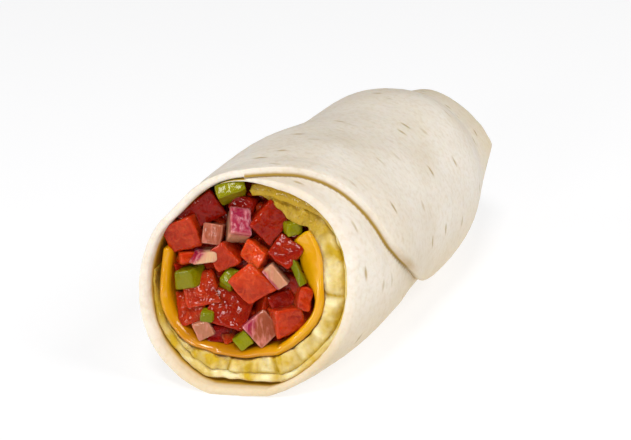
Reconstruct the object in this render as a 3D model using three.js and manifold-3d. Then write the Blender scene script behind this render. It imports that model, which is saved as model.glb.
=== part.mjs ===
// A breakfast burrito lying on its side: a soft flour tortilla wound round a folded egg sheet,
// a slice of cheese bent into a U, and diced tomato, onion and pepper. Its mouth is open and its
// far end is pressed flat. Millimetres, +Z up. The roll lies along +Y with its mouth towards -Y,
// and the origin is on the surface that it lies on, midway along it.
import * as THREE from "three";
import { mergeVertices } from "three/addons/utils/BufferGeometryUtils.js";
import Module from "manifold-3d";

// Driving sizes
const LENGTH = 135; // mouth to flattened end, along the middle
const MOUTH_LEAD = 9.36; // how far the slanted mouth's lower left reaches in front of its middle
const MOUTH_Y = (MOUTH_LEAD - LENGTH) / 2;
const SHEET = 2; // thickness of the tortilla
const GAP = 0.35; // clearance between the layers of the roll
const CLEAR = 0.6; // clearance between the filling's pieces and round them
const FLOOR_CLEAR = 0.8; // what the filling leaves besides that above the flat underside
const FLOOR_DIP = 0.5; // how far the round underside would reach below the floor

// The roll's outline, as [share of the length, millimetres]
const HALF_WIDTH = [[0, 26.6], [0.17, 29.9], [0.33, 30.2], [0.5, 28.9], [0.67, 27.4], [0.83, 24], [1, 20.8]];
const HALF_HEIGHT = [[0, 27.3], [0.17, 27.8], [0.33, 27.2], [0.5, 25.9], [0.67, 25.7], [0.83, 23.3], [1, 19.5]];
const CENTRE_X = [[0, 1.1], [0.17, 0.5], [0.33, -1.2], [0.5, -1.4], [0.67, -2.1], [0.83, -3.5], [1, -4.4]];
const MOUTH_SLANT = [0.258, 0.229]; // the mouth lies further back to the right and at the top

// The flattened end
const END_FROM = 0.7; // share of the length where the roll starts to flatten
const END_HEIGHT = 29; // height of the pressed edge above the floor
const END_HALF = 2.5; // half of its thickness
const END_LAYER = 1; // a layer there where two lie on each other
const END_BOW = 9; // how far its corners fall back from its middle
const END_PINCH = 1.55; // its section's exponent: 2 is an ellipse, 1 a diamond

// The flap's edge, as [share of the length, degrees round the roll from +X]
const FLAP_EDGE = [
  [0, 97], [0.03, 83], [0.05, 73], [0.075, 56], [0.1, 36], [0.125, 18], [0.155, 8],
  [0.2, -1], [0.28, -13], [0.4, -30], [0.6, -46], [1, -50],
];
const ROW_PLACES = [[0, 0], [0.1, 0.035], [0.45, 0.16], [0.65, 0.5], [0.8, 0.82], [1, 1]];
const SHEET_END = 470; // degrees where the sheet ends, hidden under the flap
const PAST_END = 14; // degrees past it that the filling stays clear of
const FLAP_LIFT = 0.9; // how far the flap's edge stands out
const FLAP_SPREAD = 70; // degrees over which that lift fades
const TUCK_AT_MOUTH = 60; // degrees over which the sheet dips under the flap
const TUCK_BEHIND = 20;
const RIM_DENT = { at: 138, width: 10, deep: 0.8, long: 0.05 };

// The filling, as [degrees round the roll, millimetres]
const EGG_THICKNESS = [
  [-184, 0.5], [-158, 1], [-132, 1.9], [-105, 4.8], [-79, 5.6], [-53, 5.9],
  [-27, 5.2], [0, 4.9], [26, 4.8], [52, 6.8], [76, 6.4],
];
const CHEESE_INSET = [
  [-198, 0.9], [-172, 2.1], [-147, 2.6], [-121, 4.7], [-96, 6.7], [-70, 7.1],
  [-44, 7], [-19, 6.4], [7, 6.2], [32, 6.4], [56, 8.6],
];
const CHEESE_THICKNESS = 2.6;
const EGG_SPAN = [-184, 78];
const CHEESE_SPAN = [-198, 56];
const FILLING_END = 0.91; // share of the length where the filling stops
const THINS_UNDER = 23; // half height of the roll under which its layers thin out
const EGG_DEPTH = 4; // how far each filling lies behind the mouth
const CHEESE_DEPTH = 2.6;
const CORE_DEPTH = 8.5;

// Diced vegetables at the mouth: kind, right and up of the roll's middle, width, height,
// turn in degrees, and how far the front lies behind the mouth
const DICE = [
  ["pepper", -6.3, 22.4, 6.2, 3.8, 20, 0.2],
  ["tomato", -4.4, 19.6, 6, 5, -20, 5],
  ["onion", -4.3, 15.3, 5.6, 8.2, -6, 1.6],
  ["tomato", 1.8, 15.4, 7, 10, 24, 3.2],
  ["tomato", -14.4, 16.6, 8, 6.5, -35, 4.6],
  ["tomato", -17.6, 11.2, 8.6, 8.6, 12, 3.4],
  ["onion", -10.7, 12, 5.6, 5.6, 8, 2.6],
  ["onion", -12.5, 6.8, 8.4, 3.6, 26, 1.6],
  ["tomato", -17.6, 5.6, 4.4, 4.4, 8, 3.4],
  ["tomato", -7.1, 7.1, 6.8, 6.2, 35, 2.6],
  ["tomato", 0.5, 8.2, 6.4, 6.2, -32, 2.4],
  ["tomato", 7.4, 8.4, 6.6, 6.4, -28, 3.4],
  ["pepper", -15.2, 1.4, 7.2, 4.6, 3, 1.8],
  ["pepper", -5.8, 0.8, 4, 6.2, -28, 2.6],
  ["tomato", 0.9, 0.6, 9, 10.4, 36, 1.6],
  ["onion", 6.3, 3.4, 3.6, 6.4, 28, 1.2],
  ["tomato", -11, -2, 7.2, 7, 18, 4],
  ["tomato", -5.8, -6.4, 10.6, 9.6, -14, 4.2],
  ["tomato", -14.6, -6, 6.2, 8.6, 10, 4.2],
  ["pepper", -10.2, -7.8, 3.8, 3.2, -8, 2.2],
  ["onion", -11.2, -11.4, 5.2, 5.2, 30, 2.8],
  ["tomato", -7, -13, 6.4, 5.2, 0, 5.4],
  ["pepper", -0.5, -13.2, 4.6, 4.4, 35, 1.8],
  ["onion", 3, -10.4, 7.8, 8.4, 34, 3],
  ["tomato", 9.2, -7.8, 8.2, 7.6, 18, 2.6],
  ["tomato", 12, -2.6, 4.8, 6.4, -8, 3.4],
  ["tomato", 6.7, -4, 6.4, 6, 30, 5],
  ["pepper", 10.8, 4, 2.4, 5.8, 22, 3.2],
  ["pepper", 8.4, 14.4, 5.4, 4, 14, 2.2],
];
const COLOURS = { tortilla: 0xe9dcc8, egg: 0xe9d26a, cheese: 0xf0a81c, salsa: 0xb8281a };

const degrees = THREE.MathUtils.degToRad;
const ease = (x) => THREE.MathUtils.smoothstep(x, 0, 1);

// A smooth curve through [place, value] knots, by cubic steps with the slope taken across each knot.
function curve(knots, x) {
  const last = knots.length - 1;
  const at = THREE.MathUtils.clamp(x, knots[0][0], knots[last][0]);
  let i = 0;
  while (i < last - 1 && at > knots[i + 1][0]) i += 1;
  const slope = (k) => {
    const before = knots[Math.max(k - 1, 0)];
    const after = knots[Math.min(k + 1, last)];
    return (after[1] - before[1]) / (after[0] - before[0]);
  };
  const span = knots[i + 1][0] - knots[i][0];
  const f = (at - knots[i][0]) / span;
  const start = knots[i][1] * (2 * f ** 3 - 3 * f ** 2 + 1) + knots[i + 1][1] * (3 * f ** 2 - 2 * f ** 3);
  return start + span * (slope(i) * (f ** 3 - 2 * f ** 2 + f) + slope(i + 1) * (f ** 3 - f ** 2));
}

// The roll's section at a share of its length: half sizes, centre, and how flat it is.
function section(t) {
  const flat = THREE.MathUtils.clamp((t - END_FROM) / (1 - END_FROM), 0, 1);
  const full = curve(HALF_HEIGHT, t);
  return {
    flat,
    wide: curve(HALF_WIDTH, t),
    high: full * Math.sqrt(1 - flat ** 2.4) + END_HALF * flat ** 2 + FLOOR_DIP * (1 - flat),
    x: curve(CENTRE_X, t),
    z: THREE.MathUtils.lerp(full - FLOOR_DIP, END_HEIGHT, ease(flat)),
    power: THREE.MathUtils.lerp(2, END_PINCH, ease(flat)),
  };
}

// A point of the roll, at an angle round it, a share of its length, and a depth under its surface.
// Where the roll is settled flat on the floor, the point lies that depth above the floor or more.
function rollPoint(angle, t, inset, floor = Math.max(inset, 0)) {
  const s = section(t);
  const across = Math.cos(degrees(angle));
  const up = Math.sin(degrees(angle));
  const reach = (Math.abs(across) ** s.power + Math.abs(up) ** s.power) ** (-1 / s.power);
  const right = (s.wide - inset) * reach * across;
  const rise = Math.max(s.high - inset, 0.15) * reach * up;
  const slant = (1 - t) ** 2 * (MOUTH_SLANT[0] * right + MOUTH_SLANT[1] * rise);
  const bow = END_BOW * (right / s.wide) ** 2 * s.flat ** 2;
  return [s.x + right, MOUTH_Y + LENGTH * t + slant - bow, Math.max(s.z + rise, floor)];
}

// How far the sheet's outer face lies under the roll's surface, at an angle on from the flap's edge.
function sheetInset(angle, t) {
  const onward = angle - curve(FLAP_EDGE, t);
  const tuck = THREE.MathUtils.lerp(TUCK_AT_MOUTH, TUCK_BEHIND, ease(t / 0.2));
  const loose = 1 - ease((t - END_FROM) / (1 - END_FROM));
  const lift = FLAP_LIFT * (1 - ease(onward / FLAP_SPREAD)) * loose;
  const dent = RIM_DENT.deep * Math.exp(-(((angle - RIM_DENT.at) / RIM_DENT.width) ** 2) - t / RIM_DENT.long);
  const step = THREE.MathUtils.lerp(SHEET - FLAP_LIFT, END_LAYER, 1 - loose) + GAP;
  return step * ease((onward - 360 + tuck) / tuck) - lift + dent;
}

// The sheet's thickness: even, but pressed thin in the flattened end where two layers lie together.
function sheetThickness(angle, t) {
  const onward = angle - curve(FLAP_EDGE, t);
  const single = ease((angle + 360 - SHEET_END) / 30) * (1 - ease((onward - 330) / 30));
  const pressed = THREE.MathUtils.lerp(END_LAYER, 2 * END_LAYER + GAP, single);
  return THREE.MathUtils.lerp(SHEET, pressed, section(t).flat ** 2);
}

// A point of the filling, at a depth under the inner wall of the rolled tortilla. The layers thin
// out together towards the flattened end.
function fillingPoint(angle, t, depth) {
  const inset = wallInset(angle, t) + depth * Math.min(section(t).high / THINS_UNDER, 1);
  return rollPoint(angle, t, inset, inset + FLOOR_CLEAR);
}

// How far the inner wall of the rolled tortilla lies under the roll's surface.
function wallInset(angle, t) {
  const edge = curve(FLAP_EDGE, t);
  const turned = angle + 360 * Math.ceil((edge - angle) / 360);
  const again = turned + 360 <= SHEET_END + PAST_END ? turned + 360 : turned;
  return Math.max(sheetInset(turned, t), sheetInset(again, t)) + SHEET;
}

// A closed solid from rows of closed loops, each loop being a near side and a far side, point for
// point: the loops are joined in turn, and each end is closed across from side to side.
function loftedSolid(rows) {
  const around = rows[0].length;
  const half = around / 2;
  const triangles = [];
  const quad = (a, b, c, d) => triangles.push(a, c, b, a, d, c);
  for (let r = 0; r + 1 < rows.length; r += 1) {
    for (let k = 0; k < around; k += 1) {
      const next = (k + 1) % around;
      quad(r * around + k, r * around + next, (r + 1) * around + next, (r + 1) * around + k);
    }
  }
  const end = (rows.length - 1) * around;
  for (let k = 0; k + 1 < half; k += 1) {
    const across = around - 1 - k;
    quad(k + 1, k, across, across - 1);
    quad(end + k, end + k + 1, end + across - 1, end + across);
  }
  const geometry = new THREE.BufferGeometry();
  geometry.setAttribute("position", new THREE.Float32BufferAttribute(rows.flat(2), 3));
  geometry.setIndex(triangles);
  return geometry;
}

// Evenly spaced numbers from one value to another.
function steps(from, to, count) {
  return Array.from({ length: count + 1 }, (_, i) => from + ((to - from) * i) / count);
}

// Row places from 0 to 1 that lie closer together near the mouth, where the flap's edge crosses
// the roll, and at the flattened end.
function closerAtEnds(u) {
  return curve(ROW_PLACES, u);
}

// The tortilla: one sheet of even thickness, wound once round and on under its own flap.
function tortilla() {
  const columns = 48;
  const shares = steps(0, 1, 30).map(closerAtEnds);
  const rows = shares.map((t) => {
    const angles = steps(curve(FLAP_EDGE, t), SHEET_END, columns);
    const outer = angles.map((angle) => rollPoint(angle, t, sheetInset(angle, t)));
    const inner = angles.map((angle) => rollPoint(angle, t, sheetInset(angle, t) + sheetThickness(angle, t)));
    return [...outer, ...inner.reverse()];
  });
  return loftedSolid(rows);
}

// A strip of filling that lies along the wall and runs through the roll.
function filling(angles, rowCount, depthAt, outerAt, innerAt) {
  const rows = steps(0, 1, rowCount).map((u) => {
    const place = (angle, inset) => {
      const front = depthAt(angle) / LENGTH;
      const t = THREE.MathUtils.lerp(front, FILLING_END, closerAtEnds(u));
      return fillingPoint(angle, t, inset);
    };
    const outer = angles.map((angle) => place(angle, outerAt(angle)));
    const inner = angles.map((angle) => place(angle, innerAt(angle, u)));
    return [...outer, ...inner.reverse()];
  });
  return loftedSolid(rows);
}

// The folded egg sheet: thick and lumpy at the right and below, thin up the left side.
function eggSheet() {
  const lumps = (angle, u) => 0.5 * Math.abs(Math.sin(degrees(angle * 6.2 + 240 * u)));
  const thickness = (angle, u) => curve(EGG_THICKNESS, angle) * (1 - 0.13 * lumps(angle, u) * 2);
  const depth = (angle) => EGG_DEPTH + 1.2 * lumps(angle, 0);
  return filling(steps(...EGG_SPAN, 32), 16, depth, () => CLEAR, (angle, u) => CLEAR + thickness(angle, u));
}

// The cheese: one slice bent into a U inside the egg.
function cheeseSlice() {
  const inset = (angle) => curve(CHEESE_INSET, angle);
  return filling(steps(...CHEESE_SPAN, 24), 10, () => CHEESE_DEPTH, inset, (angle) => inset(angle) + CHEESE_THICKNESS);
}

// How far in from the wall the space for the vegetables begins.
function salsaInset(angle) {
  const past = 10;
  const turned = angle > EGG_SPAN[1] + past ? angle - 360 : angle;
  if (turned < CHEESE_SPAN[0] - past) return 1.6 * CLEAR;
  if (turned <= CHEESE_SPAN[1] + past) return curve(CHEESE_INSET, turned) + CHEESE_THICKNESS + 1.4 * CLEAR;
  return EGG_THICKNESS.at(-1)[1] + 2 * CLEAR + 1;
}

const wasm = await Module();
wasm.setup();

function toSolid(geometry) {
  const bare = geometry.clone();
  bare.deleteAttribute("normal");
  bare.deleteAttribute("uv");
  const merged = mergeVertices(bare, 1e-3);
  const mesh = { numProp: 3, vertProperties: merged.attributes.position.array, triVerts: merged.index.array };
  return new wasm.Manifold(new wasm.Mesh(mesh));
}

function toGeometry(solid) {
  const mesh = solid.getMesh();
  const geometry = new THREE.BufferGeometry();
  geometry.setAttribute("position", new THREE.Float32BufferAttribute(mesh.vertProperties, 3));
  geometry.setIndex([...mesh.triVerts]);
  return geometry;
}

// A tube round the roll's middle, from a front share of the length to a back one.
function plug(front, back, rowCount, columns, insetAt) {
  const angles = steps(-180, 180, columns).slice(0, columns);
  const rows = steps(0, 1, rowCount).map((u) => {
    const t = THREE.MathUtils.lerp(front, back, closerAtEnds(u));
    const point = (angle) => fillingPoint(angle, t, insetAt(angle));
    return angles.map(point);
  });
  return loftedSolid(rows);
}

// One diced piece, its front towards the open mouth and turned a little from its neighbours.
function dice([, right, up, width, height, turn, depth], index) {
  const thick = Math.min(Math.max(width, height), 7.5);
  const s = section(0);
  const box = new THREE.BoxGeometry(width, thick, height);
  const lean = 0.3 * Math.sin(index * 2.4);
  const yaw = 0.25 + 0.3 * Math.cos(index * 1.7);
  box.rotateY(-degrees(turn)).rotateX(-0.2 + lean * 0.6).rotateZ(yaw);
  const slant = MOUTH_SLANT[0] * right + MOUTH_SLANT[1] * up;
  return box.translate(s.x + right, MOUTH_Y + slant + depth + thick / 2 + 0.8, s.z + up);
}

// The vegetables: one core that runs through the roll, with the pieces at the mouth fused on.
function salsa() {
  const core = toSolid(plug(CORE_DEPTH / LENGTH, FILLING_END, 7, 24, (angle) => salsaInset(angle) + 0.5));
  const room = toSolid(plug(-3 / LENGTH, FILLING_END + 0.02, 14, 40, salsaInset));
  const pieces = DICE.map((row, index) => toSolid(dice(row, index)));
  const heap = pieces.reduce((all, piece) => all.add(piece), core).intersect(room);
  const whole = heap.decompose().sort((a, b) => b.volume() - a.volume())[0];
  return toGeometry(whole);
}

const burrito = new THREE.Group();
function add(name, geometry, color, roughness) {
  const material = new THREE.MeshStandardMaterial({ color, roughness, metalness: 0 });
  const mesh = new THREE.Mesh(geometry, material);
  mesh.name = name;
  burrito.add(mesh);
}
add("tortilla", tortilla(), COLOURS.tortilla, 0.8);
add("egg_sheet", eggSheet(), COLOURS.egg, 0.55);
add("cheese_slice", cheeseSlice(), COLOURS.cheese, 0.35);
add("salsa", salsa(), COLOURS.salsa, 0.3);

export default burrito;
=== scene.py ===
# %% [markdown]
# # A breakfast burrito, made of surfaces worked out with numpy
# A soft flour tortilla is wound round a folded sheet of egg, a slice of cheese bent into a U, and
# wet diced tomato, red onion and green pepper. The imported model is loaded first. It gives the place
# and size of every solid, and each piece made here stands for one of those solids.

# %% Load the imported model
import math
import bpy
import numpy as np
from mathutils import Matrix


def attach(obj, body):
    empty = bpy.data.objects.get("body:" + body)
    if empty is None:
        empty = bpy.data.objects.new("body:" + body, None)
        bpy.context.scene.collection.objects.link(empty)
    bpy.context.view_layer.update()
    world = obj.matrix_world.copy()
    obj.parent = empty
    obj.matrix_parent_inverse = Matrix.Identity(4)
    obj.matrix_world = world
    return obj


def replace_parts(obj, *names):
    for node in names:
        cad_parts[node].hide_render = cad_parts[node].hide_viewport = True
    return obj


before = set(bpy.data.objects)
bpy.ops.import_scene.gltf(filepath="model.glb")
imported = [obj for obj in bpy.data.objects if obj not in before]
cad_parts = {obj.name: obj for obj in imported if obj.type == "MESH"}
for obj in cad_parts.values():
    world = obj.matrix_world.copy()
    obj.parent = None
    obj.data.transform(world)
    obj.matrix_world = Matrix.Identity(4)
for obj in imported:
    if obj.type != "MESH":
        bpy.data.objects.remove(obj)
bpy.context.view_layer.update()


print("solids:", sorted(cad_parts))

# %% [markdown]
# ## The roll's outline
# A rolled tortilla isn't a cylinder: it is widest behind the mouth, dips, swells again, and ends
# pressed flat. It could be sculpted by hand. Here it is a section that changes along the length, so
# that every layer inside can follow the same formula at its own depth under the surface.

# %% Sizes of the roll
# All lengths are in millimetres until a mesh is made. The mouth is slanted, and the foremost point of
# its rim leads its middle by MOUTH_LEAD. The round section sinks by FLOOR_DIP into a flat underside.
LENGTH = 135
MOUTH_LEAD = 9.36
MOUTH_Y = (MOUTH_LEAD - LENGTH) / 2
MOUTH_SLANT = (0.258, 0.229)
SHEET = 2.0
GAP = 0.15
FLOOR_DIP = 0.5
# Knots of smooth curves: a share of the length, 0 at the mouth and 1 at the end, and the size there.
HALF_WIDTH = [(0, 26.6), (0.17, 29.9), (0.33, 29.7), (0.5, 28.3), (0.67, 27.2), (0.83, 23.4), (1, 20.6)]
HALF_HEIGHT = [
    (0, 27.3), (0.17, 27.8), (0.33, 27.2), (0.5, 26.4),
    (0.67, 26.4), (0.75, 25.2), (0.83, 22.4), (1, 19.3),
]
CENTRE_X = [(0, 1.1), (0.17, 0.5), (0.33, -1.2), (0.5, -1.4), (0.67, -2.1), (0.83, -3.5), (1, -4.4)]
# The pressed end: the share where it begins, how fast it closes, the height and half height that it
# ends with, one layer's thickness there, how far its sides bow back, its section's exponent, and the
# least half height that is left inside it.
END_FROM = 0.7
END_CLOSING = 2.4
END_HEIGHT = 29
END_HALF = 2.5
END_LAYER = 1
END_BOW = 9
END_PINCH = 1.55
THINNEST = 0.15


def ease(x):
    """The smooth step 3x^2 - 2x^3, held at 0 and 1 outside that range."""
    x = np.clip(x, 0, 1)
    return x * x * (3 - 2 * x)


def ramp(x, start, end):
    """0 before the start, 1 past the end, and the smooth step between them. It may run downwards."""
    return ease((x - start) / (end - start))


def mix(a, b, share):
    """The value that lies that share of the way from a to b."""
    return a + (b - a) * share


def curve(knots, x):
    """A smooth curve through (place, value) knots: between two knots it is the cubic that has their
    values, and as its slope at a knot the slope of the line between the knots on either side."""
    place, value = np.array(knots, float).T
    last = len(place) - 1
    x = np.clip(np.asarray(x, float), place[0], place[-1])
    i = np.clip(np.searchsorted(place, x, side="right") - 1, 0, last - 1)
    before = np.maximum(np.arange(last + 1) - 1, 0)
    after = np.minimum(np.arange(last + 1) + 1, last)
    slope = (value[after] - value[before]) / (place[after] - place[before])
    span = place[i + 1] - place[i]
    f = (x - place[i]) / span
    level = value[i] * (2 * f**3 - 3 * f**2 + 1) + value[i + 1] * (3 * f**2 - 2 * f**3)
    return level + span * (slope[i] * (f**3 - 2 * f**2 + f) + slope[i + 1] * (f**3 - f**2))


def section(t):
    """The roll's section at a share t of its length: how flat it is, half sizes, centre, exponent.
    The half height falls as sqrt(1 - flat^closing), so the end closes like a pressed pillow."""
    flat = np.clip((t - END_FROM) / (1 - END_FROM), 0, 1)
    full = curve(HALF_HEIGHT, t)
    high = full * np.sqrt(1 - flat**END_CLOSING) + END_HALF * flat**2 + FLOOR_DIP * (1 - flat)
    centre_z = mix(full - FLOOR_DIP, END_HEIGHT, ease(flat))
    return flat, curve(HALF_WIDTH, t), high, curve(CENTRE_X, t), centre_z, mix(2, END_PINCH, ease(flat))


def roll_point(angle, t, inset, floor=None):
    """The point at an angle in degrees round the roll, a share t of its length, and a depth under
    its surface. The section is |x/w|^p + |z/h|^p = 1, the mouth's plane leans by its two slants, and
    a point that would sink under the flat underside is lifted to it."""
    flat, wide, high, x, z, power = section(t)
    across = np.cos(np.radians(angle))
    up = np.sin(np.radians(angle))
    reach = (np.abs(across) ** power + np.abs(up) ** power) ** (-1 / power)
    right = (wide - inset) * reach * across
    rise = np.maximum(high - inset, THINNEST) * reach * up
    slant = (1 - t) ** 2 * (MOUTH_SLANT[0] * right + MOUTH_SLANT[1] * rise)
    bow = END_BOW * (right / wide) ** 2 * flat**2
    floor = np.maximum(inset, 0) if floor is None else floor
    y = MOUTH_Y + LENGTH * t + slant - bow
    return np.stack(np.broadcast_arrays(x + right, y, np.maximum(z + rise, floor)), -1)


print("the mouth's middle in mm:", roll_point(0, 0.0, HALF_WIDTH[0][1]).round(1))

# %% [markdown]
# ## The winding
# A tortilla is one sheet. It goes once round the food and on under its own flap, and the flap's free
# edge crosses the top of the roll slantwise. Two separate tubes would look false at the mouth, so the
# sheet is described by its angle on from the flap's edge: after a full turn it dips under the flap.

# %% Sizes of the winding
# The flap's free edge: a share of the length, and the angle in degrees where the edge lies.
FLAP_EDGE = [
    (0, 97), (0.03, 83), (0.05, 73), (0.075, 56), (0.1, 36), (0.125, 18), (0.155, 8),
    (0.2, -1), (0.28, -13), (0.4, -30), (0.6, -46), (1, -50),
]
# In degrees: where the sheet ends inside, how far past it the wall keeps its depth, and a join.
SHEET_END, PAST_END, JOIN = 470, 14, 30
# How high the flap's edge stands out, and over how many degrees.
FLAP_LIFT, FLAP_SPREAD = 0.9, 70
# How many degrees the sheet takes to dip under the flap, at the mouth and from a share of the length on.
TUCK_AT_MOUTH, TUCK_BEHIND, TUCK_BY = 60, 20, 0.2
# A dent in the rim, and the rim's lean outwards: in degrees, in millimetres, and as a share back.
DENT_AT, DENT_WIDTH, DENT_DEEP, DENT_LONG = 138, 10, 0.8, 0.05
FLARE, FLARE_AT, FLARE_LONG = 0.9, 165, 0.018

print("the sheet goes round the roll", round((SHEET_END - FLAP_EDGE[-1][1]) / 360, 2), "times at its end")


# %% Formulas of the winding
def sheet_inset(angle, t):
    """How far the sheet's outer face lies under the roll's surface: it stands out by the lift at the
    flap's edge, and after a full turn it has eased down by its own thickness and a small gap. At the
    rim one side is dented, and the whole opening leans a little to the upper left."""
    onward = angle - curve(FLAP_EDGE, t)
    tuck = mix(TUCK_AT_MOUTH, TUCK_BEHIND, ramp(t, 0, TUCK_BY))
    loose = ramp(t, 1, END_FROM)
    lift = FLAP_LIFT * ramp(onward, FLAP_SPREAD, 0) * loose
    dent = DENT_DEEP * np.exp(-(((angle - DENT_AT) / DENT_WIDTH) ** 2) - t / DENT_LONG)
    flare = FLARE * np.cos(np.radians(angle - FLARE_AT)) * np.exp(-t / FLARE_LONG)
    step = mix(SHEET - FLAP_LIFT, END_LAYER, 1 - loose) + GAP
    return step * ramp(onward, 360 - tuck, 360) - lift + dent - flare


def sheet_thickness(angle, t):
    """The sheet is even, but pressed thin at the flat end. There each of two layers gets END_LAYER,
    and a layer that lies alone gets the room of both. Between the two it changes within a join."""
    onward = angle - curve(FLAP_EDGE, t)
    single = ramp(angle, SHEET_END - 360, SHEET_END - 360 + JOIN) * ramp(onward, 360, 360 - JOIN)
    pressed = mix(END_LAYER, 2 * END_LAYER + GAP, single)
    return mix(SHEET, pressed, section(t)[0] ** 2)


def wall_inset(angle, t):
    """How far the inner wall lies under the roll's surface: the deeper of the layers there."""
    turned = angle + 360 * np.ceil((curve(FLAP_EDGE, t) - angle) / 360)
    again = np.where(turned + 360 <= SHEET_END + PAST_END, turned + 360, turned)
    return np.maximum(sheet_inset(turned, t), sheet_inset(again, t)) + SHEET


print("inner wall under the surface at the mouth, mm:", wall_inset(np.array([0, 90, 180]), 0.0).round(2))

# %% [markdown]
# ## Turning arrays into meshes
# Every piece is a grid of points. A strip such as the tortilla is a row of closed loops, each loop
# running out along one face and back along the other, so that the edges close by themselves. Writing
# whole arrays with foreach_set is much faster than adding vertices one by one.

# %% Helpers for meshes
MM = 0.001


def put_in_scene(name, data):
    """A new object that shows that mesh, camera or light."""
    made = bpy.data.objects.new(name, data)
    bpy.context.scene.collection.objects.link(made)
    return made


def make_piece(name, points, faces, values=(), uv=None):
    """A mesh object from points in millimetres and faces of 3 or 4 corners, smooth, at the origin,
    with named numbers for each point and maybe a uv place. It rides on the only body."""
    mesh = bpy.data.meshes.new(name)
    corners = np.concatenate([f.ravel() for f in faces])
    size = np.concatenate([np.full(len(f), f.shape[1]) for f in faces])
    mesh.vertices.add(len(points))
    mesh.vertices.foreach_set("co", (points * MM).ravel())
    mesh.loops.add(len(corners))
    mesh.loops.foreach_set("vertex_index", corners)
    mesh.polygons.add(len(size))
    mesh.polygons.foreach_set("loop_start", np.concatenate([[0], np.cumsum(size)[:-1]]))
    mesh.polygons.foreach_set("loop_total", size)
    mesh.update(calc_edges=True)
    mesh.polygons.foreach_set("use_smooth", np.ones(len(size), bool))
    if uv is not None:
        mesh.uv_layers.new(name="sheet").data.foreach_set("uv", uv[corners].ravel())
    for label, value in dict(values).items():
        mesh.attributes.new(label, "FLOAT", "POINT").data.foreach_set("value", value.ravel())
    mesh.validate()
    made = put_in_scene(name, mesh)
    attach(made, "root")
    print(name, "triangles:", int((size - 2).sum()))
    return made


def ring_sides(rings, around, first=0):
    """Quads that join each closed ring of points to the next one. The rings are numbered one after
    another, from the point called first."""
    ring, k = np.meshgrid(np.arange(rings - 1), np.arange(around), indexing="ij")
    after = (k + 1) % around
    near = first + ring * around
    far = near + around
    return np.stack([near + k, far + k, far + after, near + after], -1).reshape(-1, 4)


def loop_faces(rows, around):
    """Faces of a solid made of rows of closed loops, point joined to point. Half of each loop is the
    near side and half the far side, and each end is closed straight across from side to side."""
    k = np.arange(around // 2 - 1)
    across = around - 1 - k
    front = np.stack([k, k + 1, across - 1, across], -1)
    back = (rows - 1) * around + front[:, ::-1]
    return [ring_sides(rows, around), front, back]


def pole_faces(rows, around):
    """Faces of a solid made of rings between two poles: point 0 is the first pole, the last point
    the other, and the rings lie between them in turn."""
    k = np.arange(around)
    after = (k + 1) % around
    first = np.stack([np.zeros_like(k), 1 + k, 1 + after], -1)
    base = 1 + (rows - 1) * around
    last = np.stack([np.full_like(k, base + around), base + after, base + k], -1)
    return [ring_sides(rows, around, 1), first, last]


def make_strip(name, points, values, uv=None):
    """A piece from rows of loops."""
    return make_piece(name, points.reshape(-1, 3), loop_faces(*points.shape[:2]), values, uv)


def there_and_back(outer, inner):
    """Rows of loops that run out along the outer face and back along the inner one."""
    return np.concatenate([outer, inner[:, ::-1]], 1)


WAVE_LENGTHS = (0.7, 1.5)


def ripples(points, size, seed, waves=12):
    """Uneven bumps of about one size, from -1 to 1 or a little more: the sum of a few sine waves in
    random directions, whose lengths are between WAVE_LENGTHS times that size."""
    rng = np.random.default_rng(seed)
    heading = rng.normal(size=(waves, 3))
    spread = rng.uniform(*WAVE_LENGTHS, (waves, 1))
    heading /= np.linalg.norm(heading, axis=1, keepdims=True) * size * spread
    phase = rng.uniform(0, 2 * math.pi, waves)
    return np.sin(2 * math.pi * points @ heading.T + phase).sum(-1) / math.sqrt(2 * waves)


def layered(points, layers, waves=12):
    """The sum of ripples in layers, where each layer is (height, size, seed)."""
    return sum(height * ripples(points, size, seed, waves) for height, size, seed in layers)


def rounded_edge(distance, reach, power=2.0):
    """How far a surface draws in near an edge, as a share of its full draw: 1 on the edge itself and
    0 from the reach on, along the superellipse (1 - d)^p + (1 - e)^p = 1."""
    d = 1 - np.clip(distance / reach, 0, 1)
    return 1 - (1 - d**power) ** (1 / power)


def edge_steps(reach, count):
    """Distances from a rounded edge, closer together near it, as the foot points of equal turns. The
    reach itself is left out, as the next rows start there."""
    return reach * (1 - np.cos(np.linspace(0, math.pi / 2, count)))[:-1]


print("distances in mm over an edge of 1 mm:", edge_steps(1, 6).round(2))

# %% [markdown]
# ## Materials in a few nodes
# Each finish is a Principled shader with patterns whose sizes come from real millimetres. Colours are
# the hex values that a picture shows, so one function turns them to the linear numbers that a shader
# wants, and one small function adds any node with its settings and links.

# %% Helpers for nodes
MIX_FACTOR, MIX_A, MIX_B, MIX_RESULT = 0, 6, 7, 2


def linear(hex_colour):
    """The linear RGBA of an sRGB hex colour: ((c + 0.055) / 1.055)^2.4, or c / 12.92 when dark."""
    c = np.array([int(hex_colour[i : i + 2], 16) for i in (1, 3, 5)]) / 255
    c = np.where(c > 0.04045, ((c + 0.055) / 1.055) ** 2.4, c / 12.92)
    return (*c, 1.0)


def add(tree, kind, inputs=(), **settings):
    """Adds one node: settings are its properties, and each input gets a value or another node's
    output socket."""
    made = tree.nodes.new(kind)
    for name, value in settings.items():
        setattr(made, name, value)
    for key, value in dict(inputs).items():
        if isinstance(value, bpy.types.NodeSocket):
            tree.links.new(value, made.inputs[key])
        else:
            made.inputs[key].default_value = value
    return made


def per_metre(millimetres):
    """A texture's scale for a pattern of that size, as Object coordinates are in metres."""
    return 1000 / millimetres


def noise(tree, place, size, detail, distortion=0.0):
    """Soft clouds of a size in millimetres: a number that wavers about a half."""
    clouds = {"Vector": place, "Scale": per_metre(size), "Detail": detail, "Distortion": distortion}
    return add(tree, "ShaderNodeTexNoise", clouds).outputs["Fac"]


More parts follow.
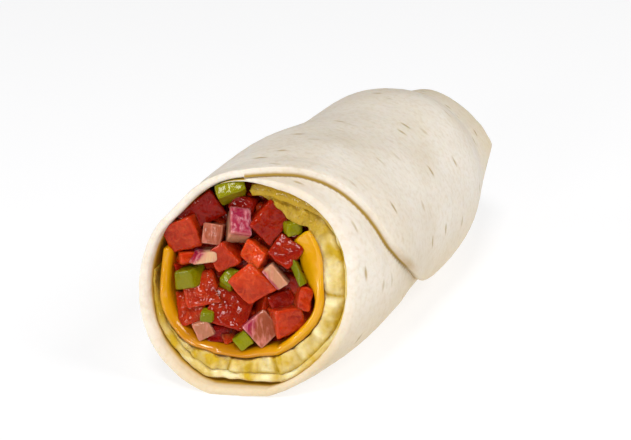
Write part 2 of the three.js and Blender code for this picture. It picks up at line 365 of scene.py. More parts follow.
def attribute(tree, name):
    """The number of that name which the mesh holds for each of its points."""
    return add(tree, "ShaderNodeAttribute", attribute_name=name).outputs["Fac"]


def stretched(tree, value, start, end, low=0.0, high=1.0, **settings):
    """A number that goes from low to high as the value goes from start to end, and holds beyond."""
    ends = {0: value, 1: start, 2: end, 3: low, 4: high}
    return add(tree, "ShaderNodeMapRange", ends, **settings).outputs[0]


def arithmetic(tree, operation, *values, **settings):
    """The result of one operation on numbers or sockets."""
    return add(tree, "ShaderNodeMath", enumerate(values), operation=operation, **settings).outputs[0]


def blend(tree, share, a, b):
    """The colour that lies that share of the way from a to b. Each is a hex colour or a socket."""
    a, b = [linear(colour) if isinstance(colour, str) else colour for colour in (a, b)]
    parts = {MIX_FACTOR: share, MIX_A: a, MIX_B: b}
    return add(tree, "ShaderNodeMix", parts, data_type="RGBA").outputs[MIX_RESULT]


def bumps(tree, height, distance, strength=1.0):
    """A normal that leans with the slopes of a pattern, which stands as high as a distance in
    millimetres where its number is 1."""
    relief = {"Height": height, "Strength": strength, "Distance": distance * MM}
    return add(tree, "ShaderNodeBump", relief).outputs[0]


print("#808080 in linear light:", round(linear("#808080")[0], 3))


# %% Helpers for materials
def start_material(name):
    """An empty material, its tree, and a socket with the object's own coordinates in metres."""
    made = bpy.data.materials.new(name)
    made.use_nodes = True
    made.node_tree.nodes.clear()
    place = add(made.node_tree, "ShaderNodeTexCoord").outputs["Object"]
    return made, made.node_tree, place


def wet_film(tree, place, size, height):
    """A slightly wavy normal for a film of juice or oil: noise of that size, as high as given, both in
    millimetres. Where it leans the right way it throws a small sharp highlight."""
    return bumps(tree, noise(tree, place, size, 1.0, 0.6), height)


def wet_coat(weight, roughness, normal, ior=1.36):
    """The shader's values for a clear film that lies on the piece and has a normal of its own."""
    return {"Coat Weight": weight, "Coat Roughness": roughness, "Coat IOR": ior, "Coat Normal": normal}


def light_inside(weight, reach, scale):
    """The shader's values for light that goes in and comes out again: how much of it, how far red,
    green and blue get as shares, and how far 1 is in millimetres."""
    return {"Subsurface Weight": weight, "Subsurface Radius": reach, "Subsurface Scale": scale * MM}


def finish_material(made, values, normal=None):
    """Joins a Principled shader with those values, and a bump's normal if there is one, to the
    material's output."""
    tree = made.node_tree
    if normal is not None:
        values = {**values, "Normal": normal}
    shader = add(tree, "ShaderNodeBsdfPrincipled", values)
    add(tree, "ShaderNodeOutputMaterial", {"Surface": shader.outputs["BSDF"]})
    return made


def dress(material, *pieces):
    """Gives the pieces that finish."""
    for piece in pieces:
        piece.data.materials.append(material)
    print(material.name, "on", [piece.name for piece in pieces])


print("a pattern of 5 mm has the scale", per_metre(5))

# %% [markdown]
# ## The flour tortilla
# The real sheet is wheat dough rolled thin and baked on a hot plate: matt, soft, a little floury, with
# short toasted flecks. Its edges are rounded. The mesh follows the winding with a row about every
# millimetre, and gentle ripples keep it from looking like plastic.

# %% Tortilla sizes and relief
MEAN_RADIUS = 28
# Ripples in layers: height and size in millimetres, and the seed.
SOFT_WAVES = (0.3, 26, 1)
DOUGH_GRAIN = (0.05, 2.6, 2)
END_GATHERS = (0.15, 9, 5)
GATHERS_FROM, GATHERS_LONG = 0.8, 0.3
SHEET_COLUMNS = 290
FRONT_ROWS, BACK_ROWS, CROSSED_BY_EDGE = 42, 86, 0.19
RIM_STEPS, LIP_STEPS = 6, 9
MM_PER_DEGREE = 0.5
# An edge draws in by at most this share of its half thickness, so that its faces keep some width.
EDGE_DRAW = 0.97
RIM_POWER = 2.6
# The flap's lip and the hidden inner end: how long the taper is, in millimetres and in degrees, how
# much it thins, and how far it is pressed down, in millimetres, and out, as a share.
LIP_TAPER, LIP_DRAW, LIP_PRESS = 1, 0.84, 0.3
HIDDEN_TAPER, HIDDEN_DRAW, HIDDEN_PRESS = 40, 0.9, 0.8


def sheet_relief(angle, t):
    """Soft waves and fine dough grain, by place on the roll, so that both layers share them. The
    waves grow into gathers towards the pressed end."""
    turn = np.radians(angle)
    right, up = MEAN_RADIUS * np.cos(turn), MEAN_RADIUS * np.sin(turn)
    place = np.stack([right, LENGTH * t + 0 * turn, up], -1)
    gathers = ramp(t, GATHERS_FROM, 1) * layered(place * (1, GATHERS_LONG, 1), [END_GATHERS])
    return layered(place, [SOFT_WAVES, DOUGH_GRAIN]) + gathers


print("relief at the rim in mm:", sheet_relief(np.array([0, 90, 180]), 0.0).round(2))


# %% Tortilla tints
# In millimetres, the gold on the lip, part toast and part painted shade, and the painted shade under it,
# and how much the lip fades past the corner.
LIP_TAN, LIP_SHADE, LIP_FADE = 0.12, 0.35, 0.6
# The painted shade at the corner's fold: where and how long as shares of the length, its reach in
# millimetres, its strength.
CORNER_AT, CORNER_LONG, CORNER_SHADE_REACH, CORNER_SHADE = 0.2, 0.045, 3, 0.5
# How strong the painted warm shade is at the end and from which share of the length it grows, and how
# strong it is on the lower side.
END_SHADE, END_SHADE_FROM = 0.3, 0.72
UNDER_SHADE = 0.4
# Angles between which the painted warm shade of the lower side sets in, from the right and from the left.
LOW_SHADE_RIGHT, LOW_SHADE_LEFT = (10, -40), (-165, -115)
# A painted golden glow on the inner wall, standing for light thrown back by the filling, sets in between
# two distances from the rim in millimetres, and over some degrees from 0 on.
GLOW_FROM, GLOW_BY, GLOW_ROUND = 1.5, 3.1, 15


def toast_and_shade_of_sheet(t, from_flap):
    """How much tan and painted shade the outer face gets, from 0 to 1: gold on the flap's lip, part toast
    and part painted shade, painted shade on the sheet close under it, and a soft painted shade at the
    fold of the flap's corner."""
    lip = ramp(from_flap, LIP_TAN, 0) * (1 - LIP_FADE * ramp(t, CORNER_AT, CORNER_AT + CORNER_LONG))
    under = 360 * MM_PER_DEGREE - from_flap
    shade = np.where(under > 0, np.exp(-((under / LIP_SHADE) ** 2)), 1)
    corner_shade = CORNER_SHADE * np.exp(-(((t - CORNER_AT) / CORNER_LONG) ** 2))
    return np.maximum(np.maximum(lip, shade), corner_shade * ramp(from_flap, CORNER_SHADE_REACH, 0))


def warm_shade_of_sheet(angle, t):
    """How much painted warm shade the dough gets: on the roll's lower side, and towards its end."""
    round_roll = (angle + 180) % 360 - 180
    low = ramp(round_roll, *LOW_SHADE_RIGHT) * ramp(round_roll, *LOW_SHADE_LEFT)
    return np.maximum(UNDER_SHADE * low, END_SHADE * ramp(t, END_SHADE_FROM, 1))


def glow_on_wall(angle, from_rim):
    """How much painted golden glow the inner face gets, standing for light that the cheese and egg throw
    back onto it: from a little behind the rim on, and from the angle 0 on, as before it the flap lies on
    the sheet itself."""
    return ramp(from_rim, GLOW_FROM, GLOW_BY) * ramp(angle, 0, GLOW_ROUND)


print("warmth from the right down to the left:", warm_shade_of_sheet(np.array([0, -90, -180]), 0.0).round(2))


# %% Tortilla mesh
def tortilla_points():
    """Rows of loops from mouth to end, outer face then inner face, with the angle, the share of the
    length, and for each point the lip's toast and painted shade, the painted golden glow on the inner
    wall, and the painted warm shade. The rim is rounded on both faces. The flap's edge tapers on its
    outer face only, so it lies flush on the sheet below, and so does the inner end."""
    front = edge_steps(SHEET / 2, RIM_STEPS) / LENGTH
    crossed = np.linspace(SHEET / 2 / LENGTH, CROSSED_BY_EDGE, FRONT_ROWS, endpoint=False)
    back = np.linspace(CROSSED_BY_EDGE, 1, BACK_ROWS)
    t = np.concatenate([front, crossed, back])[:, None]
    lip = edge_steps(LIP_TAPER, LIP_STEPS)[None, :] / MM_PER_DEGREE
    spread = np.linspace(0, 1, SHEET_COLUMNS)[None, :]
    edge = curve(FLAP_EDGE, t)
    begin = edge + LIP_TAPER / MM_PER_DEGREE
    angle = np.concatenate([edge + lip, mix(begin, SHEET_END, spread)], 1)
    t = t + 0 * angle
    from_rim = t * LENGTH
    from_flap = (angle - edge) * MM_PER_DEGREE
    rim_draw = EDGE_DRAW * rounded_edge(from_rim, SHEET / 2, RIM_POWER)
    lip_draw = LIP_DRAW * rounded_edge(from_flap, LIP_TAPER)
    end_draw = HIDDEN_DRAW * ramp(angle, SHEET_END - HIDDEN_TAPER, SHEET_END)
    half = sheet_thickness(angle, t) / 2
    thin = half * (1 - np.maximum(rim_draw, np.maximum(lip_draw, end_draw)))
    middle = sheet_inset(angle, t) - sheet_relief(angle, t) + LIP_PRESS * lip_draw
    middle = middle + half * (1 + lip_draw - HIDDEN_PRESS * end_draw)
    points = there_and_back(roll_point(angle, t, middle - thin), roll_point(angle, t, middle + thin))
    # The lip's gold is part toast and part painted shade, with painted shade under it and at the corner's
    # fold.
    toast_and_shade = there_and_back(toast_and_shade_of_sheet(t, from_flap), 0 * t)
    painted_glow = there_and_back(0 * t, glow_on_wall(angle, from_rim))
    angle, t, warm_shade = [there_and_back(v, v) for v in (angle, t, warm_shade_of_sheet(angle, t))]
    return points, angle, t, {"toast_and_shade": toast_and_shade, "painted_glow": painted_glow, "warm_shade": warm_shade}


def make_tortilla():
    """The piece. Its uv is the place on the flat sheet, round the roll and along it, in metres."""
    points, angle, t, values = tortilla_points()
    uv = np.stack([angle * MM_PER_DEGREE, t * LENGTH], -1).reshape(-1, 2) * MM
    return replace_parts(make_strip("tortilla_sheet", points, values, uv), "tortilla")


tortilla = make_tortilla()

# %% [markdown]
# ## The dough's finish
# Baked dough is cream, matt and a little see-through. Its flecks are where it touched the hot plate.
# They could be painted on an image. Here they are a pattern of cells on the sheet's own flat
# millimetres, so they run round the roll and stay put when the roll's shape is changed.

# %% Tortilla finish
# A fleck's cell along the roll, in millimetres, and how many times longer it is round the roll.
FLECK_CELL, FLECK_STRETCH = 6, 2.8


def toasted_flecks(tree, place, lip):
    """Where a fleck lies, from 0 to 1: the middle of a long cell, its edge made ragged by noise, in only
    some of the cells, and nowhere on the lip's gold and painted shade."""
    sheet = add(tree, "ShaderNodeUVMap", uv_map="sheet").outputs["UV"]
    scale = (per_metre(FLECK_STRETCH * FLECK_CELL), per_metre(FLECK_CELL), 1)
    flat = add(tree, "ShaderNodeMapping", {"Vector": sheet, "Scale": scale}).outputs["Vector"]
    cells = add(tree, "ShaderNodeTexVoronoi", {"Vector": flat, "Scale": 1.0}, voronoi_dimensions="2D")
    ragged = arithmetic(tree, "MULTIPLY_ADD", noise(tree, place, 2, 2.0), 0.09, cells.outputs["Distance"])
    spot = stretched(tree, ragged, 0.07, 0.19, 1.0, 0.0, interpolation_type="SMOOTHSTEP")
    pick = add(tree, "ShaderNodeSeparateColor", {0: cells.outputs["Color"]}).outputs[0]
    away = arithmetic(tree, "SUBTRACT", 1.0, lip)
    strong = arithmetic(tree, "MULTIPLY", stretched(tree, pick, 0.3, 0.9, 0.0, 0.85), away)
    return arithmetic(tree, "MULTIPLY", spot, strong)


def flour_tortilla():
    """Soft baked wheat dough: cream, matt, warm where light goes into it, with short toasted flecks that
    run round the roll, and with painted shade and a painted golden glow where the mesh's numbers say so."""
    made, tree, place = start_material("flour_tortilla")
    # The lip's toast and painted shade: gold on the lip's edge, painted shade under it and at the
    # corner's fold.
    lip = attribute(tree, "toast_and_shade")
    flecks = toasted_flecks(tree, place, lip)
    flour = noise(tree, place, 1.3, 4.0)
    dough = blend(tree, stretched(tree, noise(tree, place, 17, 3.0), 0.35, 0.7), "#EAE1D5", "#E0D4C2")
    floury = blend(tree, stretched(tree, flour, 0.45, 0.75, 0.0, 0.3), dough, "#C8B08A")
    # Painted warm shade: tan low on the roll and towards its end.
    warm_shade = blend(tree, attribute(tree, "warm_shade"), floury, "#D0B060")
    # Gold for the lip's toast and its painted shade.
    golden = blend(tree, lip, warm_shade, "#A6821E")
    # Painted golden glow on the inner wall, where the filling throws its light back.
    glowing = blend(tree, attribute(tree, "painted_glow"), golden, "#C89A20")
    grain = bumps(tree, arithmetic(tree, "SUBTRACT", flour, flecks), 0.4, 0.25)
    return finish_material(made, {
        "Base Color": blend(tree, flecks, glowing, "#B09660"), "Roughness": 0.68, "IOR": 1.42,
        **light_inside(0.2, (1.0, 0.55, 0.25), 3),
    }, grain)


dress(flour_tortilla(), tortilla)

# %% [markdown]
# ## The filling's depth
# Everything inside is placed by its depth under the tortilla's inner wall, so the layers can't cut
# through the sheet or each other. Near the pressed end they thin out together.

# %% Sizes of the filling
FLOOR_CLEAR = 0.8
THINS_UNDER = 23
FILLING_END = 0.91
# Egg and cheese end this much before the vegetables do.
STRIP_SHORT = 12
STRIP_END = FILLING_END * LENGTH - STRIP_SHORT
STRIP_EDGE_STEPS = 7
ROW_CROWDING = 1.8
# By angle in degrees, in millimetres: how deep the cheese's outer face lies at the mouth, and how far
# it leans in behind that.
CHEESE_INSET = [
    (-198, 0.7), (-180, 1.8), (-160, 1.9), (-144, 2.5), (-133, 3.5), (-119, 5.4), (-92, 5.1),
    (-77, 6.1), (-58, 6.8), (-38, 6.6), (-20, 6.3), (0, 6.7), (18, 6.1), (36, 5.7), (60, 4.8),
]
CHEESE_LEAN = [(-60, 0), (-30, 0.6), (-12, 2.2), (2, 4.8), (14, 6.2), (28, 6.6), (46, 6.4), (66, 6)]
LEAN_LONG = 5
CHEESE_THICKNESS = 2.6
CHEESE_DEPTH = 2.4


def filling_point(angle, t, depth):
    """A point of the filling at a depth under the inner wall, which shrinks with the roll's height."""
    inset = wall_inset(angle, t) + depth * np.minimum(section(t)[2] / THINS_UNDER, 1)
    return roll_point(angle, t, inset, inset + FLOOR_CLEAR)


def cheese_near(angle, behind):
    """Depth of the cheese's outer face under the wall: its place at the mouth, and at the right the
    further behind the mouth the further in, as the slice leans there."""
    lean = curve(CHEESE_LEAN, angle) * ramp(behind, CHEESE_DEPTH, CHEESE_DEPTH + LEAN_LONG)
    return curve(CHEESE_INSET, angle) + lean


def strip(span, front, depths, reach, power, rows, count):
    """A strip of filling with rounded edges, as rows of loops. At a distance from its front edge it
    runs between the angles span(distance). It starts front(angle) behind the mouth, and its faces lie
    at depths(angle, behind). Towards an edge the half thickness falls to (1 - draw) of its full size.
    The results are points, angles, and places across, from 0 on the outer face to 1 on the inner."""
    nose = edge_steps(reach, STRIP_EDGE_STEPS)
    back = reach + (STRIP_END - reach) * np.linspace(0, 1, rows) ** ROW_CROWDING
    from_front = np.concatenate([nose, back])[:, None]
    first, last = span(from_front)
    angle = mix(first, last, np.linspace(0, 1, count)[None, :]) + 0 * from_front
    behind = front(angle[:1]) + from_front
    near, far = depths(angle, behind)
    tip = np.minimum(angle - first, last - angle) * MM_PER_DEGREE
    draw = EDGE_DRAW * np.maximum(rounded_edge(from_front, reach, power), rounded_edge(tip, reach))
    middle = (near + far) / 2
    half = (far - near) / 2 * (1 - draw)
    outer = filling_point(angle, behind / LENGTH, middle - half)
    inner = filling_point(angle, behind / LENGTH, middle + half)
    faces = [(outer, inner), (angle, angle), (draw / 2, 1 - draw / 2)]
    return [there_and_back(near_face, far_face) for near_face, far_face in faces]


print("cheese under the wall at the right in mm:", cheese_near(0, np.array([0, 10])).round(1))

# %% [markdown]
# ## The egg
# The egg is beaten, cooked flat and folded, so at the mouth it shows two layers: a thin smooth skin
# against the tortilla, and a thick broken one inside it that ends in soft blocks. The blocks are
# pillows along the angle, parted by narrow grooves at uneven places.

# %% Egg sizes
EGG_SPAN = (-184, 97)
BLOCK_SPAN = (-160, 97)
EGG_DEPTH = 3.2
SKIN_LEAD = 0.6
SKIN_NEAR, SKIN_LEAST = 0.1, 0.35
SKIN, SKIN_FROM, SKIN_SWELL, SWELL_FROM = 1.7, (-190, -150), 0.5, (45, 70)
SEAM = 0.1
THINNEST_BLOCK = 0.3
EGG_EDGE = 0.9
# By angle in degrees: how deep the egg reaches past the cheese's end, and how far a block's front
# leads or trails.
EGG_TIP = [(50, 6.6), (63, 7.4), (72, 6.6), (84, 4.6), (97, 2)]
PAST_CHEESE = (40, 54)
BLOCK_FRONT = [
    (-160, 0.6), (-145, 0.2), (-116, -0.4), (-94, -0.6), (-77, -0.1), (-60, -0.8), (-45, 0), (-30, -0.3),
    (-12, -0.6), (10, -0.2), (31, -0.4), (54, 0.4), (72, 0.8), (98, 1.2),
]
# Where a crease parts two blocks: its angle, how deep it is as a share, and its width in degrees. Then
# how far it notches the front in millimetres, how far it dents the block as a share, and its sway.
CREASES = [
    (-131, 0.5, 3), (-101, 1, 1.6), (-86, 0.4, 2), (-68, 0.9, 1.6), (-52, 0.6, 2), (-37, 0.3, 3),
    (-23, 0.3, 3), (-3, 1, 1.8), (26, 0.35, 3), (50, 0.8, 3.5), (74, 0.25, 4),
]
CREASE_NOTCH, CREASE_DENT = 0.5, 0.1
CREASE_SWAY, SWAY_RATE = 2.5, 0.7
# Where painted shade in deep yellow lies on the egg's upper right and upper left ends, from none to full,
# and how strong it is.
SHADED_RIGHT, SHADED_LEFT, SHADED_END = (25, 53), (-138, -158), 0.9
# How strong the painted shade on the outer side is, and how far across the layer it reaches.
SKIN_OUTER_SHADE, BLOCK_OUTER_SHADE = (0.9, 1 / 6), (0.8, 1 / 3)
# Ripples in layers: height and size in millimetres, and the seed.
SKIN_FRONT_WAVES = [(0.35, 12, 16), (0.2, 3, 17)]
SKIN_FAR_WAVES = [(0.2, 9, 18)]
SKIN_BUMPS = [(0.08, 3, 13)]
BLOCK_FRONT_WAVES = [(0.25, 2.5, 15)]
CURDS = [(0.3, 4.5, 11), (0.16, 1.9, 12), (0.07, 0.9, 14)]
# Bumps on the blocks push to the right, towards the mouth and up, by these shares.
CURD_PUSH = np.array([0.6, -1, 0.6])


# %% Egg meshes
def crease(angle):
    """How deep in a crease an angle lies, from 0 to 1: the largest of the bumps s exp(-|a/w|^1.5)."""
    deep = 0 * angle
    for at, strength, width in CREASES:
        deep = np.maximum(deep, strength * np.exp(-(np.abs((angle - at) / width) ** 1.5)))
    return deep


def uneven(angle, layers):
    """Uneven waves along an edge, by place along it in millimetres."""
    along = angle * MM_PER_DEGREE
    return layered(np.stack([along, 0 * along, 0 * along], -1), layers, 7)


def egg_far(angle, behind):
    """The egg fills the room up to the cheese, and past the cheese's end it thins out."""
    return mix(cheese_near(angle, behind) - SEAM, curve(EGG_TIP, angle), ramp(angle, *PAST_CHEESE))


def skin_front(angle):
    """The skin's front edge leads the blocks a little, in uneven waves."""
    return EGG_DEPTH - SKIN_LEAD + uneven(angle, SKIN_FRONT_WAVES)


def skin_far(angle):
    """The skin grows from nothing at the left to its thickness, and swells at its upper end."""
    thick = SKIN * ramp(angle, *SKIN_FROM) * (1 + SKIN_SWELL * ramp(angle, *SWELL_FROM))
    return SKIN_LEAST + thick + uneven(angle, SKIN_FAR_WAVES)


def skin_depths(angle, behind):
    """From close under the wall to the skin's far face, all along the roll."""
    return SKIN_NEAR + 0 * angle, skin_far(angle) + 0 * behind


def block_front(angle):
    """The blocks' front follows its list, trails where a crease is, and is rough."""
    notched = EGG_DEPTH + CREASE_NOTCH * crease(angle)
    return notched + curve(BLOCK_FRONT, angle) + uneven(angle, BLOCK_FRONT_WAVES)


def block_depths(angle, behind):
    """From the skin to the egg's far face, a little less in the creases, which sway along the roll."""
    near = skin_far(angle) - SEAM
    full = 1 - CREASE_DENT * crease(angle + CREASE_SWAY * np.sin(SWAY_RATE * behind))
    return near, near + np.maximum(egg_far(angle, behind) - near, THINNEST_BLOCK) * full


def painted_egg_shade(angle, across, outer_shade):
    """How much painted shade in deep yellow the egg gets: on its outer side, and at its upper right and
    upper left ends.
    """
    shaded_ends = np.maximum(ramp(angle, *SHADED_RIGHT), ramp(angle, *SHADED_LEFT))
    return np.maximum(outer_shade[0] * ramp(across, outer_shade[1], 0), SHADED_END * shaded_ends)


def make_skin():
    """The thin smooth layer against the wall."""
    points, angle, across = strip(
        lambda _: EGG_SPAN, skin_front, skin_depths, reach=EGG_EDGE, power=2, rows=26, count=220
    )
    points = points + layered(points, SKIN_BUMPS)[..., None]
    # Painted shade: deep yellow on the skin's outer side and at its ends.
    golden = painted_egg_shade(angle, across, SKIN_OUTER_SHADE)
    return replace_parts(make_strip("egg_skin", points, {"egg_shade": golden}), "egg_sheet")


def make_blocks():
    """The thick broken layer inside the skin, with curds pushed out of its faces."""
    points, angle, across = strip(
        lambda _: BLOCK_SPAN, block_front, block_depths, reach=EGG_EDGE, power=3.2, rows=44, count=460
    )
    points = points + layered(points, CURDS)[..., None] * CURD_PUSH
    # Painted shade: deep yellow in the creases, on the outer side and at the ends.
    golden = np.maximum(painted_egg_shade(angle, across, BLOCK_OUTER_SHADE), crease(angle))
    return make_strip("egg_blocks", points, {"egg_shade": golden})


egg_skin = make_skin()
egg_blocks = make_blocks()

# %% [markdown]
# ## The egg's finish
# Cooked egg is pale and moist. One noise drives both its colour, from pale to deep yellow, and its bumps.
# Painted shade in deep yellow lies in the creases, along the outer side and at the ends, and the mesh
# says how much of it each point gets.

# %% Egg finish
def cooked_egg():
    """Cooked egg: pale yellow, moist and translucent, with painted shade in deep yellow where the mesh's
    number asks for it.
    """
    made, tree, place = start_material("cooked_egg")
    curds = noise(tree, place, 5.5, 2.0)
    colour = blend(tree, stretched(tree, curds, 0.34, 0.66), "#F4E8B8", "#CCA828")
    height = arithmetic(tree, "ADD", noise(tree, place, 0.8, 3.0), curds)
    return finish_material(made, {
        # The mesh's painted shade turns the egg deep yellow.
        "Base Color": blend(tree, attribute(tree, "egg_shade"), colour, "#B4900E"),
        "Roughness": 0.4, "IOR": 1.36, "Specular Tint": linear("#FFDC78"),
        **wet_coat(0.35, 0.1, wet_film(tree, place, 2.5, 0.4), 1.34),
        **light_inside(0.35, (1.0, 0.7, 0.2), 2.5),
    }, bumps(tree, height, 0.7, 0.5))


dress(cooked_egg(), egg_skin, egg_blocks)

# %% [markdown]
# ## The cheese
# A slice of processed cheese softens on the hot egg and bends into a U. Its cut edge faces the mouth:
# even, glossy and golden. At the right the softened slice leans in, so its inner face shows too.

# %% Cheese mesh
CHEESE_SPAN = (-198, 47.5)
TOP_SKEW = 1.2
TIP_THINNER, TIP_FROM = 0.25, (20, 50)
CUT_REACH, CUT_POWER = 2.2, 1.9
# Where painted shade darkens the slice, from none to full, where it is paler again, and by how much.
CHEESE_SHADE_FROM, PALER_FROM, PALER = (-30, -100), (-140, -170), 0.7
# Waves round the roll: height in millimetres, number in a full turn, and start in degrees.
CUT_WAVES = [(0.4, 3, 40), (0.15, 9, 0)]
FACE_WAVES = [(0.12, 7, 0)]


def waves_round(angle, waves):
    """The sum of h sin(n a + s) over the waves."""
    return sum(height * np.sin(np.radians(count * angle + start)) for height, count, start in waves)


def cheese_front(angle):
    """The cut edge that faces the mouth, nearly straight."""
    return CHEESE_DEPTH + waves_round(angle, CUT_WAVES)


def cheese_depths(angle, behind):
    """The outer face and the inner one, closer together at the tip."""
    near = cheese_near(angle, behind) + waves_round(angle, FACE_WAVES)
    return near, near + CHEESE_THICKNESS * (1 - TIP_THINNER * ramp(angle, *TIP_FROM))


def cheese_span(from_front):
    """The end at the upper right runs on at a slant, so that a corner points in."""
    return CHEESE_SPAN[0], CHEESE_SPAN[1] + TOP_SKEW * np.minimum(from_front, LEAN_LONG)


def make_cheese():
    """The bent slice. Its lower and left parts get painted shade, a darker orange."""
    points, angle, _ = strip(
        cheese_span, cheese_front, cheese_depths, reach=CUT_REACH, power=CUT_POWER, rows=34, count=240
    )
    cheese_shade = ramp(angle, *CHEESE_SHADE_FROM) * (1 - PALER * ramp(angle, *PALER_FROM))
    made = make_strip("cheese_bent_slice", points, {"cheese_shade": cheese_shade})
    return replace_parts(made, "cheese_slice")


cheese = make_cheese()

# %% [markdown]
# ## The cheese's finish
# Processed cheese is one even colour, and half melted it is as smooth as oil. A plain glossy colour
# would do from afar. A coat with slow waves over a softer body gives the long highlights of a slice
# that has started to flow.

# %% Cheese finish
def soft_cheese():
    """Half melted processed cheese: one even golden orange with painted shade on its lower and left
    parts, smooth and oily, so it has long sharp highlights over a soft body."""
    made, tree, place = start_material("soft_cheese")
    colour = blend(tree, noise(tree, place, 9, 2.0), "#E8AE00", "#D69400")
    return finish_material(made, {
        # Painted shade: a darker orange where the mesh says so.
        "Base Color": blend(tree, attribute(tree, "cheese_shade"), colour, "#C48000"),
        "Roughness": 0.3, "IOR": 1.42, "Specular Tint": linear("#FFC050"),
        **wet_coat(1.0, 0.09, wet_film(tree, place, 5, 0.7), 1.5),
        **light_inside(0.25, (1.0, 0.5, 0.1), 2),
    }, bumps(tree, noise(tree, place, 2.5, 2.0), 0.4, 0.15))


dress(soft_cheese(), cheese)

# %% [markdown]
# ## The camera's direction
# The diced pieces show best when their cut faces look towards the camera, and the photograph's view
# fixes it, so the camera is made now. It stands low and to the right of the open mouth, with a long
# lens, and is turned a little so that the roll sits where the photograph has it.

# %% Camera
# In pixels the picture's width, the focal length and the aim point's place off the picture's middle,
# and in millimetres the sensor, the aim point, its distance and where the view begins.
IMAGE_WIDTH = 631
SENSOR = 36
FOCAL_PX = 1908.3
AZIMUTH, ELEVATION = math.radians(25.55), math.radians(20.39)
AIM = np.array([-1.9, 0.18, 25.2])
DISTANCE = 526.5
OFF_CENTRE_PX = np.array([30.7, -6.8])
CLIP_START = 10

backward = np.array([
    math.sin(AZIMUTH) * math.cos(ELEVATION), -math.cos(AZIMUTH) * math.cos(ELEVATION), math.sin(ELEVATION)
])
rightward = np.array([math.cos(AZIMUTH), math.sin(AZIMUTH), 0])
upward = np.cross(backward, rightward)


def turn_and_place(made, side, back, place):
    """Puts a camera or a light at a place in millimetres, with its X along the side and its Z, which
    points away from what it looks at, along the back. Its Y is back x side."""
    axes = np.eye(4)
    axes[:3, 0], axes[:3, 1], axes[:3, 2], axes[:3, 3] = side, np.cross(back, side), back, place * MM
    made.matrix_world = axes.T


def make_camera():
    """A camera at its distance from the aim point, turned so that this point falls off the middle of
    the picture by the given pixels, with no lens shift."""
    back = backward + (OFF_CENTRE_PX[0] * rightward - OFF_CENTRE_PX[1] * upward) / FOCAL_PX
    back /= np.linalg.norm(back)
    side = rightward - back * (rightward @ back)
    side /= np.linalg.norm(side)
    data = bpy.data.cameras.new("photo_camera")
    data.sensor_width = SENSOR
    data.lens = SENSOR * FOCAL_PX / IMAGE_WIDTH
    data.clip_start = CLIP_START * MM
    made = put_in_scene("photo_camera", data)
    turn_and_place(made, side, back, AIM + backward * DISTANCE)
    bpy.context.scene.camera = made
    return made


camera = make_camera()
print("lens in mm:", round(camera.data.lens, 1))

# %% [markdown]
# ## Diced vegetables
# A cook cuts tomato, onion and pepper into cubes, but no two are alike: knives slip, flesh sags, and
# skin stays on one side. Each piece is a cube whose edges are rounded, whose eight corners are pushed
# about, and whose faces get a fine relief. Each kind becomes one mesh.

# %% Where the pieces lie
# Each row: right and up of the roll's middle, width and height as seen, depth of the front behind the
# mouth; then in degrees the turn, the lean that shows the top face, the swing that shows the right
# face; then the slant of the sides, and a tone from 0, dark, to 1, light.
TOMATO = [
    (-4.4, 19.4, 6.4, 5.4, 4.4, -20, 10, 10, 0, 0.05),
    (2.6, 16.2, 9, 8.4, 3, -38, 0, -16, 0, 0.15),
    (-15, 17.6, 11, 8.4, 3.6, 32, 15, 10, 0, 0.05),
    (-18.6, 11.4, 10.2, 9.6, 2.8, 12, 18, 22, 0, 0.45),
    (-17.4, 5.6, 5.4, 4.4, 3.2, 8, 10, -15, 0.2, 0.6),
    (-7.1, 7.1, 7.4, 7, 2.6, 32, 5, 28, 0, 0.35),
    (0.5, 8.2, 6.6, 6.4, 2.2, -40, 22, 10, 0, 0.9),
    (7.2, 8.2, 7.4, 6.8, 3.2, -34, -4, 8, 0, 0.15),
    (0.8, 1.2, 9, 9.2, 1.6, -48, 20, 0, 0.15, 0.6),
    (-13.2, -1.6, 10.4, 8.8, 3.6, 14, 0, 5, 0, 0.4),
    (-5.8, -6.4, 10.8, 9.8, 4.2, -14, 6, 2, 0, 0.15),
    (-14.8, -7, 7.6, 8.4, 4.2, 10, 0, 12, 0, 0.4),
    (-12.4, -12, 6, 6, 5, 25, 0, 0, 0, 0.2),
    (-7, -13, 8.6, 5.6, 5.4, 0, 10, 0, 0, 0),
    (9.2, -7.8, 8.6, 8, 2.4, 16, 14, -12, 0.1, 0.45),
    (12, -2.6, 4.8, 6.4, 3.4, -8, 0, -20, 0, 0.5),
    (6.7, -4, 6.6, 6.2, 5, 30, 10, 0, 0, 0.1),
]
TOMATO_SEEDS = (0, 2, 7, 9, 11, 16)
ONION = [
    (-4.3, 15.2, 6.4, 8.6, 1.4, -4, -20, -12, 0, 0.6),
    (-10.7, 12, 5.4, 5.6, 2.4, -6, 5, 8, 0, 0.1),
    (-12, 6.9, 7.6, 4, 1.4, 8, 12, -14, 0.75, 1),
    (6.3, 3.4, 4, 6.8, 1, 38, 6, 10, 0, 0.5),
    (-11.2, -11.4, 5.4, 5.4, 2.6, 22, 12, 10, 0, 0.3),
    (3, -10.4, 7.6, 7.8, 2.6, 42, 8, -8, 0, 0.1),
]
ONION_SKIN = [(0, 0, 1), (0, 0, -1), (-1, 0.2, 0), (-1, 0, 0), (0, 0, -1), (-0.6, 0.8, 0)]
PEPPER = [
    (-6.2, 23.8, 7.8, 5.2, 0, 22, -14, -6, 0, 0.5),
    (-15.2, 1.2, 7.6, 6, 1.6, 4, 14, 38, 0, 0.4),
    (-5.8, 0.8, 4.2, 6.4, 2.4, -28, -22, 10, 0, 0.4),
    (-10.2, -7.8, 3.8, 3.6, 2, -8, 20, 10, 0, 1),
    (-0.5, -13.2, 4.8, 4.6, 1.6, 35, 10, 10, 0, 0.7),
    (11, 4, 2.8, 6, 3, 26, 0, 10, 0, 0.2),
    (7.8, 15, 5.6, 4.6, 3.4, 14, 20, -20, 0, 0.6),
]
